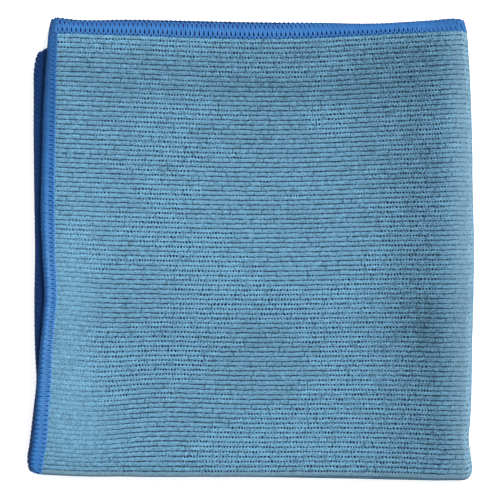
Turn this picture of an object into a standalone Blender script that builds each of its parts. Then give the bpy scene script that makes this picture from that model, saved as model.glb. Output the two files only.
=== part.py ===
"""Microfibre cloth folded in quarters: one ribbed knit panel with an overlocked hem.

The panel is drawn flat, as a grid of the sheet, and then folded twice by one rule: its lower half goes
under at the bottom, and the pair goes under at the right. That leaves four layers, one over the other,
with the first fold facing the front edge and the second fold facing the right edge.

Axes: X to the right along the ribs, Y across the ribs away from the first fold, Z up. The origin lies on
the surface under the middle of the folded cloth. Lengths in the tables are millimetres.
"""
from collections import namedtuple
from math import pi

import bmesh
import bpy
import numpy as np

MM = 0.001

# The flat sheet, cut size, from edge to edge
SHEET_ALONG_RIBS = 395.0
SHEET_ACROSS_RIBS = 400.0

# Thicknesses: the knit at a rib's crest and in the groove between two ribs, the overlocked hem and its
# lip, and how far the knit is squeezed where both folds meet
RIB_CREST_THICKNESS = 1.40
RIB_GROOVE_THICKNESS = 1.05
HEM_THICKNESS = 1.90
HEM_LIP_THICKNESS = 1.00
CORNER_SQUEEZE = 0.40

# Hem: its width, the rounding of its lip, and the step down to the knit
HEM_WIDTH = 6.0
HEM_LIP = 0.9
HEM_STEP = 0.8
HEM_INNER = HEM_WIDTH + HEM_STEP

# Ribs on the top face, between its hem and the first fold
RIB_BANDS = 13
RIBS_PER_BAND = 7
RIB_FADE = (84.0, 76.0)

# Spacing of the middle surfaces of two layers: in the middle of the cloth, at its sides, where hems lie
# in the stack or the folds stand open, and at the back, where the top layer droops over the bottom one
LAYER_PITCH = 1.75
SIDE_PITCH = 2.25
DROOPED_PITCH = 1.45

# Runs, from start to end, over which the spacing and the heights change, in X or Y
LEFT_HEMS_RUN = (-68.0, -89.0)
BACK_HEMS_RUN = (66.0, 81.0)
FIRST_FOLD_RUN = (-80.0, -99.0)
SECOND_FOLD_RUN = (70.0, 93.0)
DROOP_RUN = (91.0, 103.0)
CORNER_RUN_X = (-84.0, -92.0)
CORNER_RUN_Y = (88.0, 100.0)
CORNER_DROP = 1.3

# Folds: the outer half of the sheet reaches further up the cloth than the inner half
OUTER_HALF_LENGTH = 205.7
FOLD_CENTRE_ACROSS = OUTER_HALF_LENGTH + pi * SIDE_PITCH / 4
FOLD_CENTRE_ALONG = SHEET_ALONG_RIBS / 2
FIRST_TURN = (OUTER_HALF_LENGTH, FOLD_CENTRE_ACROSS + pi * SIDE_PITCH / 4)
SECOND_TURN = (FOLD_CENTRE_ALONG - pi * SIDE_PITCH / 2, FOLD_CENTRE_ALONG + pi * SIDE_PITCH / 2)
FIRST_FOLD_REACH = (SIDE_PITCH + RIB_CREST_THICKNESS) / 2
SECOND_FOLD_REACH = 1.5 * SIDE_PITCH + RIB_CREST_THICKNESS / 2
TOP_LEVEL = 3.0
TOUCH = 0.001

# Middle of the folded outline in the axes of the tables, which becomes the origin
OUTLINE_MIDDLE_X = 0.20
OUTLINE_MIDDLE_Y = -0.09
OUTLINE_PASSES = 4

# Left side, from the first fold up: the hem of the top layer and the strip that shows beside it
LeftRow = namedtuple("LeftRow", "y top_edge top_hem_inner strip_edge bottom_edge")
LEFT_SIDE = (
    LeftRow(-101.8, -100.3, -95.0, -100.1, -98.0),
    LeftRow(-96.3, -100.9, -94.2, -101.5, -97.6),
    LeftRow(-87.6, -99.8, -92.8, -100.5, -97.2),
    LeftRow(-73.0, -98.1, -91.7, -98.8, -96.8),
    LeftRow(-58.9, -96.9, -90.6, -97.5, -96.6),
    LeftRow(-48.0, -95.9, -90.3, -98.0, -96.8),
    LeftRow(-37.1, -94.8, -89.4, -98.3, -97.0),
    LeftRow(-23.4, -93.7, -88.2, -98.4, -97.0),
    LeftRow(-0.6, -94.7, -89.0, -98.1, -96.8),
    LeftRow(14.8, -95.3, -89.1, -98.3, -96.9),
    LeftRow(40.3, -95.0, -89.0, -98.8, -97.1),
    LeftRow(69.5, -94.2, -88.5, -98.9, -97.0),
    LeftRow(82.7, -93.4, -88.4, -98.6, -95.4),
    LeftRow(89.4, -93.0, -88.3, -97.2, -93.6),
    LeftRow(98.2, -92.4, -88.2, -95.2, -92.2),
    LeftRow(104.4, -91.2, -88.1, -94.0, -91.0),
)

# Right side: the outermost point of the second fold
RightRow = namedtuple("RightRow", "y edge")
RIGHT_SIDE = (
    RightRow(-103.5, 100.0),
    RightRow(-100.0, 100.7),
    RightRow(-94.4, 100.0),
    RightRow(-86.5, 99.2),
    RightRow(-78.0, 99.8),
    RightRow(-45.3, 100.6),
    RightRow(-1.5, 101.5),
    RightRow(25.8, 101.0),
    RightRow(64.0, 100.3),
    RightRow(85.9, 99.2),
    RightRow(98.2, 98.2),
    RightRow(104.1, 96.8),
)

# Front: the outermost points of the first fold, in the upper and in the lower pair of layers
FrontRow = namedtuple("FrontRow", "x upper_pair lower_pair")
FRONT_SIDE = (
    FrontRow(-101.3, -100.2, -100.2),
    FrontRow(-97.6, -101.7, -101.8),
    FrontRow(-86.7, -102.8, -103.0),
    FrontRow(-54.8, -103.4, -103.5),
    FrontRow(-0.2, -103.5, -103.9),
    FrontRow(45.3, -103.5, -104.6),
    FrontRow(68.1, -104.0, -105.1),
    FrontRow(93.2, -104.6, -105.3),
    FrontRow(98.4, -104.2, -104.9),
    FrontRow(100.4, -102.8, -103.4),
)

# Back: the hem of the top layer, and the edges of the three layers under it
BackRow = namedtuple("BackRow", "x top_edge top_hem_inner inner_edges bottom_edge")
BACK_SIDE = (
    BackRow(-98.5, 103.6, 98.0, 88.6, 103.0),
    BackRow(-90.8, 104.7, 98.3, 89.7, 104.0),
    BackRow(-88.5, 105.3, 97.9, 89.7, 104.3),
    BackRow(-81.7, 104.5, 97.7, 89.6, 103.9),
    BackRow(-54.8, 104.4, 96.8, 89.7, 103.5),
    BackRow(-0.2, 103.5, 95.5, 90.6, 102.8),
    BackRow(27.1, 103.2, 95.9, 91.2, 102.4),
    BackRow(54.5, 102.6, 97.3, 91.6, 102.0),
    BackRow(81.8, 103.9, 98.5, 90.2, 103.2),
    BackRow(95.4, 104.4, 98.8, 89.6, 104.0),
    BackRow(100.4, 103.2, 98.4, 89.6, 103.2),
)

# Sway of the ribs: a soft pull of the knit up or down the cloth, round a point
Pull = namedtuple("Pull", "x y width_x width_y pull")
RIB_PULLS = (
    Pull(-72.0, -75.0, 17.0, 32.0, -2.2),
    Pull(-48.0, -72.0, 20.0, 28.0, 1.2),
    Pull(-84.0, -36.0, 12.0, 26.0, 1.3),
    Pull(30.0, 62.0, 45.0, 30.0, -0.8),
)

# The pulls fade before the folds: from and to which share of the way from hem to fold
PULL_FADE_X = (1.0, 0.9)
PULL_FADE_Y = (1.0, 0.93)

# Swells of the top of the stack: height over the plain stack, round a point
Swell = namedtuple("Swell", "x y width_x width_y height")
SWELLS = (
    Swell(91.0, -20.0, 8.0, 60.0, 0.4),
    Swell(20.0, -95.5, 75.0, 7.0, 0.3),
    Swell(-62.0, 58.0, 22.0, 20.0, 0.9),
    Swell(-26.0, -34.0, 26.0, 20.0, 1.0),
    Swell(24.0, 34.0, 30.0, 22.0, 0.8),
    Swell(14.0, -66.0, 34.0, 16.0, 0.6),
    Swell(-70.0, -60.0, 16.0, 40.0, 0.7),
    Swell(58.0, -8.0, 22.0, 36.0, 0.6),
)

# Grid of the sheet: columns of the body of each layer, as shares of the way from hem to fold. The rows
# of the inner half lie as far from the first fold as those of the outer half, a band of ribs apart.
TOP_LAYER_COLUMNS = (0.10, 0.28, 0.46, 0.64, 0.80, 0.93, 0.97)
BOTTOM_LAYER_COLUMNS = (0.20, 0.50, 0.80, 0.95)
BAND_HEIGHT = (OUTER_HALF_LENGTH - HEM_INNER) / RIB_BANDS
RIB_HEIGHT = BAND_HEIGHT / RIBS_PER_BAND
RIBS_OVER_INNER_EDGES = 3
SECOND_TURN_STEPS = 8
FIRST_TURN_STEPS = 6


def named_column(rows, name):
    """One named column of a table, as an array."""
    return np.array([getattr(row, name) for row in rows])


def smooth_curve(at, knots, values):
    """Cubic curve through the knots whose slope at each knot is that of its two neighbours."""
    at = np.clip(at, knots[0], knots[-1])
    slopes = np.gradient(values, knots)
    i = np.clip(np.searchsorted(knots, at, side="right") - 1, 0, len(knots) - 2)
    gap = knots[i + 1] - knots[i]
    t = (at - knots[i]) / gap
    rise = values[i + 1] - values[i]
    start = slopes[i] * gap
    end = slopes[i + 1] * gap
    return values[i] + t * start + t**2 * (3 * rise - 2 * start - end) + t**3 * (start + end - 2 * rise)


def side_curve(rows, name, at):
    """The named side of the cloth at the given places along it."""
    return smooth_curve(at, named_column(rows, rows[0]._fields[0]), named_column(rows, name))


def smooth_step(value, start, end):
    """0 before start and 1 after end, with a soft run between them; start may lie past end."""
    t = np.clip((value - start) / (end - start), 0.0, 1.0)
    return t * t * (3 - 2 * t)


def blend(first, second, share):
    return first + (second - first) * share


def soft_sum(rows, name, x, y):
    """Sum of the table's bell-shaped rows at the points (x, y)."""
    total = np.zeros_like(x)
    for row in rows:
        bell = np.exp(-0.5 * (((x - row.x) / row.width_x) ** 2 + ((y - row.y) / row.width_y) ** 2))
        total += getattr(row, name) * bell
    return total


class FoldPlace:
    """Where a point of the flat sheet lies in the fold: its layer, and its way from hem to fold."""

    def __init__(self, along, across):
        upper = along < FOLD_CENTRE_ALONG
        outer = across < FOLD_CENTRE_ACROSS
        from_side = np.where(upper, along, SHEET_ALONG_RIBS - along)
        from_end = np.where(outer, across, SHEET_ACROSS_RIBS - across)
        self.from_cut_edge = np.minimum(from_side, from_end)
        self.second_angle = pi * np.clip(
            (along - SECOND_TURN[0]) / (SECOND_TURN[1] - SECOND_TURN[0]), 0.0, 1.0)
        self.first_angle = pi * np.clip(
            (across - FIRST_TURN[0]) / (FIRST_TURN[1] - FIRST_TURN[0]), 0.0, 1.0)
        self.lower = (1 - np.cos(self.second_angle)) / 2
        self.inner = (1 - np.cos(self.first_angle)) / 2
        self.turn_radius = 1 + 0.5 * np.cos(self.first_angle)
        self.level = 1.5 + self.turn_radius * np.cos(self.second_angle)
        half_length = np.where(outer, FIRST_TURN[0], SHEET_ACROSS_RIBS - FIRST_TURN[1])
        self.hem_share_x = np.clip(from_side / HEM_INNER, 0.0, 1.0)
        self.hem_share_y = np.clip(from_end / HEM_INNER, 0.0, 1.0)
        self.body_share_x = np.clip((from_side - HEM_INNER) / (SECOND_TURN[0] - HEM_INNER), 0.0, 1.0)
        self.body_share_y = np.clip((from_end - HEM_INNER) / (half_length - HEM_INNER), 0.0, 1.0)

    def of_layers(self, top, strip, second, bottom):
        """Blend of the values of the four layers, from the top one down."""
        return blend(blend(top, bottom, self.lower), blend(strip, second, self.lower), self.inner)


def place_along(place, y):
    """X: from the left edge over the hem to the second fold, and round it."""
    top = side_curve(LEFT_SIDE, "top_edge", y)
    strip = side_curve(LEFT_SIDE, "strip_edge", y)
    bottom = side_curve(LEFT_SIDE, "bottom_edge", y)
    top_inner = side_curve(LEFT_SIDE, "top_hem_inner", y)
    second = blend(strip, bottom, 0.6)
    edge = place.of_layers(top, strip, second, bottom)
    hem_inner = place.of_layers(
        top_inner, strip + HEM_INNER, second + HEM_INNER, bottom + HEM_INNER)
    fold = side_curve(RIGHT_SIDE, "edge", y) - SECOND_FOLD_REACH
    on_hem = blend(edge, hem_inner, place.hem_share_x)
    on_body = blend(hem_inner, fold, place.body_share_x)
    round_turn = SIDE_PITCH * place.turn_radius * np.sin(place.second_angle)
    return np.where(place.hem_share_x < 1, on_hem, on_body) + round_turn


def place_across(place, x):
    """Y: from the back edge over the hem to the first fold, and round it."""
    top = side_curve(BACK_SIDE, "top_edge", x)
    inner = side_curve(BACK_SIDE, "inner_edges", x)
    bottom = side_curve(BACK_SIDE, "bottom_edge", x)
    top_inner = side_curve(BACK_SIDE, "top_hem_inner", x)
    edge = place.of_layers(top, inner, inner - 0.5, bottom)
    hem_inner = place.of_layers(
        top_inner, inner - HEM_INNER, inner - 0.5 - HEM_INNER, bottom - HEM_INNER)
    upper_fold = side_curve(FRONT_SIDE, "upper_pair", x)
    lower_fold = side_curve(FRONT_SIDE, "lower_pair", x)
    fold = blend(upper_fold, lower_fold, place.lower) + FIRST_FOLD_REACH
    on_hem = blend(edge, hem_inner, place.hem_share_y)
    on_body = blend(hem_inner, fold, place.body_share_y)
    return np.where(place.hem_share_y < 1, on_hem, on_body) - SIDE_PITCH / 2 * np.sin(place.first_angle)


def layer_pitch(x, y):
    """Spacing of the layers: wider over the hems and at the folds, less where the inner layers end."""
    at_left_hems = smooth_step(x, *LEFT_HEMS_RUN)
    at_back_hems = smooth_step(y, *BACK_HEMS_RUN)
    at_first_fold = smooth_step(y, *FIRST_FOLD_RUN)
    at_second_fold = smooth_step(x, *SECOND_FOLD_RUN)
    middle = (1 - at_left_hems) * (1 - at_back_hems) * (1 - at_first_fold) * (1 - at_second_fold)
    drooped = smooth_step(y, *DROOP_RUN)
    return blend(blend(SIDE_PITCH, LAYER_PITCH, middle), DROOPED_PITCH, drooped)


def rib_groove(place, x, across):
    """Depth of the grooves between the ribs of the top face, which fade towards the second fold."""
    ribbed = (place.from_cut_edge > HEM_INNER) & (place.level > TOP_LEVEL - TOUCH)
    wave = 0.5 + 0.5 * np.cos(2 * pi * (across - HEM_INNER) / RIB_HEIGHT)
    depth = (RIB_CREST_THICKNESS - RIB_GROOVE_THICKNESS) * smooth_step(x, *RIB_FADE)
    return np.where(ribbed, depth * wave, 0.0)


def sheet_thickness(place, groove):
    """Thickness of the sheet: lip, hem, step and knit, less the grooves and the squeezed corner."""
    plain = np.interp(
        place.from_cut_edge,
        (0.0, HEM_LIP, HEM_WIDTH, HEM_INNER),
        (HEM_LIP_THICKNESS, HEM_THICKNESS, HEM_THICKNESS, RIB_CREST_THICKNESS))
    in_both_turns = np.sin(place.first_angle) * np.sin(place.second_angle)
    return plain - groove - CORNER_SQUEEZE * in_both_turns


def place_up(place, x, y, thickness):
    """Z: the bottom layer lies flat on the surface, and the others follow at the local spacing."""
    on_surface = np.where(place.from_cut_edge < HEM_INNER, thickness, RIB_CREST_THICKNESS) / 2
    over_hems = np.maximum(smooth_step(x, *LEFT_HEMS_RUN), smooth_step(y, *BACK_HEMS_RUN))
    under_stack = blend(RIB_CREST_THICKNESS, HEM_THICKNESS, over_hems) / 2
    base = blend(on_surface, under_stack, np.clip(place.level, 0.0, 1.0))
    rise = place.level / TOP_LEVEL
    swell = rise**2 * soft_sum(SWELLS, "height", x, y)
    corner = rise * CORNER_DROP * smooth_step(x, *CORNER_RUN_X) * smooth_step(y, *CORNER_RUN_Y)
    return base + place.level * layer_pitch(x, y) + swell - corner


def fold_sheet(along, across):
    """Folded place and thickness of the points (along, across) of the flat sheet."""
    place = FoldPlace(along, across)
    x = blend(LEFT_SIDE[0].top_edge, RIGHT_SIDE[0].edge, place.body_share_x)
    y = blend(BACK_SIDE[0].top_edge, FRONT_SIDE[0].upper_pair, place.body_share_y)
    for _ in range(OUTLINE_PASSES):
        x = place_along(place, y)
        y = place_across(place, x)
    on_top = place.level > TOP_LEVEL - TOUCH
    off_folds = smooth_step(place.body_share_x, *PULL_FADE_X)
    off_folds = off_folds * smooth_step(place.body_share_y, *PULL_FADE_Y)
    y = y + np.where(on_top, soft_sum(RIB_PULLS, "pull", x, y) * off_folds, 0.0)
    groove = rib_groove(place, x, across)
    thickness = sheet_thickness(place, groove)
    z = place_up(place, x, y, thickness) - groove / 2
    return x - OUTLINE_MIDDLE_X, y - OUTLINE_MIDDLE_Y, z, thickness


def grid_lines(total, turn, near, far, steps):
    """Lines of the flat grid in one direction: hem, body, turn, body and hem."""
    hem = np.array([0.0, HEM_LIP, HEM_WIDTH, HEM_INNER])
    return np.concatenate((hem, near, np.linspace(turn[0], turn[1], steps + 1), far, total - hem[::-1]))


def flat_sheet():
    """The sheet, flat, as a grid with lines at its hem and folds and fine rows along its ribs."""
    half = SECOND_TURN[0] - HEM_INNER
    upper = HEM_INNER + half * np.array(TOP_LAYER_COLUMNS)
    lower = SHEET_ALONG_RIBS - HEM_INNER - half * np.array(BOTTOM_LAYER_COLUMNS[::-1])
    columns = grid_lines(SHEET_ALONG_RIBS, SECOND_TURN, upper, lower, SECOND_TURN_STEPS)
    outer = FIRST_TURN[0] - BAND_HEIGHT * np.arange(RIB_BANDS - 1, 0, -1)
    outer = np.insert(outer, 0, HEM_INNER + RIB_HEIGHT * RIBS_OVER_INNER_EDGES)
    inner = FIRST_TURN[1] + BAND_HEIGHT * np.arange(1, RIB_BANDS - 1)
    rows = grid_lines(SHEET_ACROSS_RIBS, FIRST_TURN, outer, inner, FIRST_TURN_STEPS)
    mesh = bmesh.new()
    bmesh.ops.create_grid(mesh, x_segments=len(columns) - 1, y_segments=len(rows) - 1, size=1.0)
    for vertex in mesh.verts:
        column = round((vertex.co.x + 1) / 2 * (len(columns) - 1))
        row = round((vertex.co.y + 1) / 2 * (len(rows) - 1))
        vertex.co = (columns[column], rows[row], 0.0)

    ribbed = {}
    for edge in mesh.edges:
        ends = [vertex.co for vertex in edge.verts]
        across_ribs = abs(ends[0].x - ends[1].x) < TOUCH
        in_columns = HEM_INNER - TOUCH < ends[0].x < upper[-2] + TOUCH
        in_rows = min(ends[0].y, ends[1].y) > HEM_INNER - TOUCH and max(
            ends[0].y, ends[1].y) < FIRST_TURN[0] + TOUCH
        if across_ribs and in_columns and in_rows:
            parts = round(2 * edge.calc_length() / RIB_HEIGHT)
            ribbed.setdefault(parts, []).append(edge)
    for parts, edges in sorted(ribbed.items()):
        bmesh.ops.subdivide_edges(mesh, edges=edges, cuts=parts - 1, use_grid_fill=True)
    return mesh


def finish(name, colour, roughness):
    """A plain woven finish of one colour."""
    material = bpy.data.materials.new(name)
    material.use_nodes = True
    shader = material.node_tree.nodes["Principled BSDF"]
    shader.inputs["Base Color"].default_value = (*colour, 1.0)
    shader.inputs["Roughness"].default_value = roughness
    shader.inputs["Metallic"].default_value = 0.0
    return material


def folded_cloth():
    """The whole cloth: the flat sheet, folded, and given its thickness."""
    sheet = flat_sheet()
    flat = np.array([vertex.co[:2] for vertex in sheet.verts])
    for face in sheet.faces:
        middle = face.calc_center_median()
        from_edge = min(
            middle.x, SHEET_ALONG_RIBS - middle.x, middle.y, SHEET_ACROSS_RIBS - middle.y)
        face.material_index = 1 if from_edge < HEM_INNER else 0
        face.smooth = True
    x, y, z, thickness = fold_sheet(flat[:, 0], flat[:, 1])
    for vertex, point in zip(sheet.verts, np.stack((x, y, z), axis=1) * MM):
        vertex.co = point

    mesh = bpy.data.meshes.new("cloth")
    sheet.to_mesh(mesh)
    sheet.free()
    mesh.materials.append(finish("microfibre knit", (0.12, 0.28, 0.42), 0.9))
    mesh.materials.append(finish("overlock thread", (0.05, 0.18, 0.48), 0.7))
    cloth = bpy.data.objects.new("cloth", mesh)

    group = cloth.vertex_groups.new(name="thickness")
    thinnest = HEM_LIP_THICKNESS
    shares = (thickness - thinnest) / (HEM_THICKNESS - thinnest)
    for index, share in enumerate(shares):
        group.add([index], float(share), "REPLACE")
    solid = cloth.modifiers.new("sheet thickness", "SOLIDIFY")
    solid.thickness = HEM_THICKNESS * MM
    solid.offset = 0.0
    solid.vertex_group = group.name
    solid.thickness_vertex_group = thinnest / HEM_THICKNESS
    solid.use_even_offset = True
    return cloth


def main():
    for thing in list(bpy.data.objects):
        bpy.data.objects.remove(thing, do_unlink=True)
    collection = bpy.data.collections.new("microfibre cloth")
    bpy.context.scene.collection.children.link(collection)
    collection.objects.link(folded_cloth())


main()
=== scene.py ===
"""Microfibre cloth folded in quarters: the ribbed knit, its overlocked hem and a plain studio.

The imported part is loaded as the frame. The knit panel is drawn here again as one closed surface over the
two parameters of the flat sheet, folded by the rule that the part's source gives, with every rib in its
points. The overlock threads are tubes carried along their paths round the edge of that sheet. Tables and
constants are millimetres unless a name says otherwise; the meshes are metres.
"""
from collections import namedtuple
from math import pi

import bpy
import numpy as np
from bpy.props import FloatProperty, FloatVectorProperty, PointerProperty
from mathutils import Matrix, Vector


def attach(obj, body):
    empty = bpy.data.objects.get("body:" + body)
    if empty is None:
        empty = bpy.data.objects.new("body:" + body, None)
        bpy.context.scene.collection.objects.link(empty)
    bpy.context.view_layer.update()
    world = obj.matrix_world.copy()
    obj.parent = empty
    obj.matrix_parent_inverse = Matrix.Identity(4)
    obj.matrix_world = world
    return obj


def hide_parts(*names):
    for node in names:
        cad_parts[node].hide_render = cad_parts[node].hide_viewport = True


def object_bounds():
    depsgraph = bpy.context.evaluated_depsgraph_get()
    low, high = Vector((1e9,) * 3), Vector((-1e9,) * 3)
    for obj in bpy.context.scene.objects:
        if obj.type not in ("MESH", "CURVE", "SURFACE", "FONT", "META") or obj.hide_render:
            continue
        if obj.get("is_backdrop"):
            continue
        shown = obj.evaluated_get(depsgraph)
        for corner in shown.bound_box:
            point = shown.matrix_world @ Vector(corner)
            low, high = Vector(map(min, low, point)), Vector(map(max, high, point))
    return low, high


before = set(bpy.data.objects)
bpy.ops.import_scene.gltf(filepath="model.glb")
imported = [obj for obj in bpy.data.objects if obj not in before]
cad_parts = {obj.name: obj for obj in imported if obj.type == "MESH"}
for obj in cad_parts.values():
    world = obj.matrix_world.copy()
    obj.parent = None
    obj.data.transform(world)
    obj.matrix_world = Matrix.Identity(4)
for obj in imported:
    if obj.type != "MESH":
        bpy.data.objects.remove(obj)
CAD_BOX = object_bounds()

bl_info = {
    "name": "Folded microfibre cloth",
    "version": (1, 0, 0),
    "blender": (4, 5, 0),
    "location": "3D View > Sidebar > Cloth",
    "description": "Dresses the packed folded cloth with its ribbed knit and overlocked hem",
    "category": "Object",
}

MM = 0.001


def table(columns, *rows):
    """A table with named columns, each of which is an array."""
    return namedtuple("Table", columns)(*np.array(rows, dtype=float).T)


# ---------------------------------------------------------------- the fold

# This part follows the part's source. The left side from y = 40 up, the two leftmost inner edges of the back
# and the height of a rib lie up to 2 mm off it, where the photo asks for it.

# The flat sheet, cut size, and the hem with its step down to the knit
SHEET_ALONG_RIBS = 395.0
SHEET_ACROSS_RIBS = 400.0
HEM_WIDTH = 6.0
HEM_INNER = 6.8
HEM_THICKNESS = 1.90
KNIT_THICKNESS = 1.40

# Ribs on the face side, between the hem and the first fold
RIB_COUNT = 91

# Spacing of the layers, and the runs in X or Y over which it changes
LAYER_PITCH = 1.75
SIDE_PITCH = 2.25
DROOPED_PITCH = 1.45
LEFT_HEMS_RUN = (-68.0, -89.0)
BACK_HEMS_RUN = (66.0, 81.0)
FIRST_FOLD_RUN = (-80.0, -99.0)
SECOND_FOLD_RUN = (70.0, 93.0)
DROOP_RUN = (91.0, 103.0)
CORNER_RUN_X = (-84.0, -92.0)
CORNER_RUN_Y = (88.0, 100.0)
CORNER_DROP = 1.3

# The two folds
OUTER_HALF_LENGTH = 205.7
FOLD_CENTRE_ACROSS = OUTER_HALF_LENGTH + pi * SIDE_PITCH / 4
FOLD_CENTRE_ALONG = SHEET_ALONG_RIBS / 2
FIRST_TURN = (OUTER_HALF_LENGTH, FOLD_CENTRE_ACROSS + pi * SIDE_PITCH / 4)
SECOND_TURN = (FOLD_CENTRE_ALONG - pi * SIDE_PITCH / 2, FOLD_CENTRE_ALONG + pi * SIDE_PITCH / 2)
FIRST_FOLD_REACH = (SIDE_PITCH + KNIT_THICKNESS) / 2
SECOND_FOLD_REACH = 1.5 * SIDE_PITCH + KNIT_THICKNESS / 2
TOP_LEVEL = 3.0
MIDDLE_LEVEL = TOP_LEVEL / 2
TOUCH = 0.001
LAST_GROOVE = 204.8
RIB_HEIGHT = (LAST_GROOVE - HEM_INNER) / RIB_COUNT

# How far the edge of the second layer from below lies from the strip's to the bottom layer's on the left,
# and past the inner edges at the back
SECOND_EDGE_SHARE = 0.6
INNER_EDGES_STEP = 0.5

# Middle of the folded outline in the axes of the tables, which is the origin of the part
OUTLINE_MIDDLE_X = 0.20
OUTLINE_MIDDLE_Y = -0.09
OUTLINE_PASSES = 4

# Left side, from the first fold up: the hem of the top layer and the strip that shows beside it
LEFT_SIDE = table(
    "y top_edge top_hem_inner strip_edge bottom_edge",
    (-101.8, -100.3, -95, -100.1, -98),
    (-96.3, -100.9, -94.2, -101.5, -97.6),
    (-87.6, -99.8, -92.8, -100.5, -97.2),
    (-73, -98.1, -91.7, -98.8, -96.8),
    (-58.9, -96.9, -90.6, -97.5, -96.6),
    (-48, -95.9, -90.3, -98, -96.8),
    (-37.1, -94.8, -89.4, -98.3, -97),
    (-23.4, -93.7, -88.2, -98.4, -97),
    (-0.6, -94.7, -89, -98.1, -96.8),
    (14.8, -95.3, -89.1, -98.3, -96.9),
    (40.3, -94.8, -89, -98.6, -97.1),
    (69.5, -93.9, -88.5, -98.6, -97),
    (82.7, -93, -88.4, -98.3, -95.4),
    (89.4, -92.5, -88.2, -96.9, -93.4),
    (98.2, -91.9, -88, -94.9, -91.8),
    (104.4, -90.9, -88, -93.8, -90.8),
)

# Right side: the outermost point of the second fold
RIGHT_SIDE = table(
    "y edge",
    (-103.5, 100),
    (-100, 100.7),
    (-94.4, 100),
    (-86.5, 99.2),
    (-78, 99.8),
    (-45.3, 100.6),
    (-1.5, 101.5),
    (25.8, 101),
    (64, 100.3),
    (85.9, 99.2),
    (98.2, 98.2),
    (104.1, 96.8),
)

# Front: the outermost points of the first fold, in the upper and in the lower pair of layers
FRONT_SIDE = table(
    "x upper_pair lower_pair",
    (-101.3, -100.2, -100.2),
    (-97.6, -101.7, -101.8),
    (-86.7, -102.8, -103),
    (-54.8, -103.4, -103.5),
    (-0.2, -103.5, -103.9),
    (45.3, -103.5, -104.6),
    (68.1, -104, -105.1),
    (93.2, -104.6, -105.3),
    (98.4, -104.2, -104.9),
    (100.4, -102.8, -103.4),
)

# Back: the hem of the top layer, and the edges of the three layers under it
BACK_SIDE = table(
    "x top_edge top_hem_inner inner_edges bottom_edge",
    (-98.5, 103.6, 98, 88.8, 103),
    (-90.8, 104.7, 98.3, 91.4, 104),
    (-88.5, 105.3, 97.9, 89.7, 104.3),
    (-81.7, 104.5, 97.7, 89.6, 103.9),
    (-54.8, 104.4, 96.8, 89.7, 103.5),
    (-0.2, 103.5, 95.5, 90.6, 102.8),
    (27.1, 103.2, 95.9, 91.2, 102.4),
    (54.5, 102.6, 97.3, 91.6, 102),
    (81.8, 103.9, 98.5, 90.2, 103.2),
    (95.4, 104.4, 98.8, 89.6, 104),
    (100.4, 103.2, 98.4, 89.6, 103.2),
)

# Columns of a table of soft bells round points of the top face, whose values are summed up
BELLS = "x y width_x width_y size"

# Sway of the ribs: how far the knit is pulled up or down the cloth; it fades at the folds
RIB_PULLS = table(
    BELLS,
    (-72, -75, 17, 32, -2.2),
    (-48, -72, 20, 28, 1.2),
    (-84, -36, 12, 26, 1.3),
    (30, 62, 45, 30, -0.8),
)
PULL_FADE_X = (1.0, 0.9)
PULL_FADE_Y = (1.0, 0.93)

# Swells of the top of the stack: height over the plain stack
SWELLS = table(
    BELLS,
    (91, -20, 8, 60, 0.4),
    (20, -95.5, 75, 7, 0.3),
    (-62, 58, 22, 20, 0.9),
    (-26, -34, 26, 20, 1),
    (24, 34, 30, 22, 0.8),
    (14, -66, 34, 16, 0.6),
    (-70, -60, 16, 40, 0.7),
    (58, -8, 22, 36, 0.6),
)

# ---------------------------------------------------------------- what the scene adds

# The sheet's corners are drawn in by this share of a run along each side
CORNER_REACH = 4.5
CORNER_CUT = 0.24

# The knit's edge lies a little inside the threads that wrap it, and is rounded over its lip
EDGE_RECESS = 0.35
KNIT_LIP = 1.2
HEM_BASE_THICKNESS = 1.15
HEM_BASE_INNER = 6.4

# Lines of the grid: over the hem, over the body of each layer as shares of the way from hem to fold,
# round the turns, and over one rib from groove to groove
HEM_LINES = (EDGE_RECESS, 0.42, 0.70, 1.2, 2.6, 4.4, HEM_WIDTH, HEM_INNER)
TOP_LAYER_COLUMNS = 44
BOTTOM_LAYER_COLUMNS = 16
INNER_HALF_ROWS = 34
FIRST_TURN_STEPS = 12
SECOND_TURN_STEPS = 14
RIB_PHASES = (0.0, 0.14, 0.50, 0.86)

# How far a groove reaches from its middle, as a share of the way to the line next to it
GROOVE_REACH = 1.35

# Share of the groove's depth left near the second fold, over this run in X
GROOVE_RUN_X = (78.0, 92.0)
GROOVE_LEFT_AT_FOLD = 0.25

# Soft unevenness of the knit: a height over patches of this size, from a square lattice of random values
UNEVEN_PATCH = 7.0
UNEVEN_HEIGHT = 0.10
UNEVEN_SEED = 11
LATTICE = 128

# Share of the groove's depth that is lost where it is faint and where it is dotted, and how dotted the
# layers under the top one are
FAINT_LOSS = 0.6
DOTTED_LOSS = 0.5
DOTTED_BELOW = 0.4

# Where the grooves break up into rows of dots, and, under 0, where they stay plain lines
DOTTED_PATCHES = table(
    BELLS,
    (-37, 55, 17, 16, 0.8),
    (18, 86, 17, 8, 0.8),
    (72, 72, 10, 18, 0.8),
    (90, 90, 9, 10, -0.7),
    (36, 59, 7, 7, 0.7),
    (71, 16, 9, 26, 0.7),
    (-39, 9, 9, 14, 0.7),
    (-72, -4, 12, 16, 0.5),
    (-18, -6, 10, 9, 0.7),
    (-2, -17, 8, 6, 0.7),
    (68, -12, 12, 12, 0.9),
    (39, -30, 22, 9, 1),
    (-25, -35, 12, 11, 1),
    (-56, -52, 20, 13, 0.9),
    (-36, -79, 24, 10, -0.6),
    (-60, -22, 18, 10, -0.5),
    (8, -54, 14, 12, -0.5),
    (79, -32, 14, 10, -0.6),
    (93, -84, 8, 20, -0.8),
    (55, -51, 17, 18, 0.9),
    (37, -84, 36, 16, 1.1),
    (-14, -91, 14, 8, 0.8),
)

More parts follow.
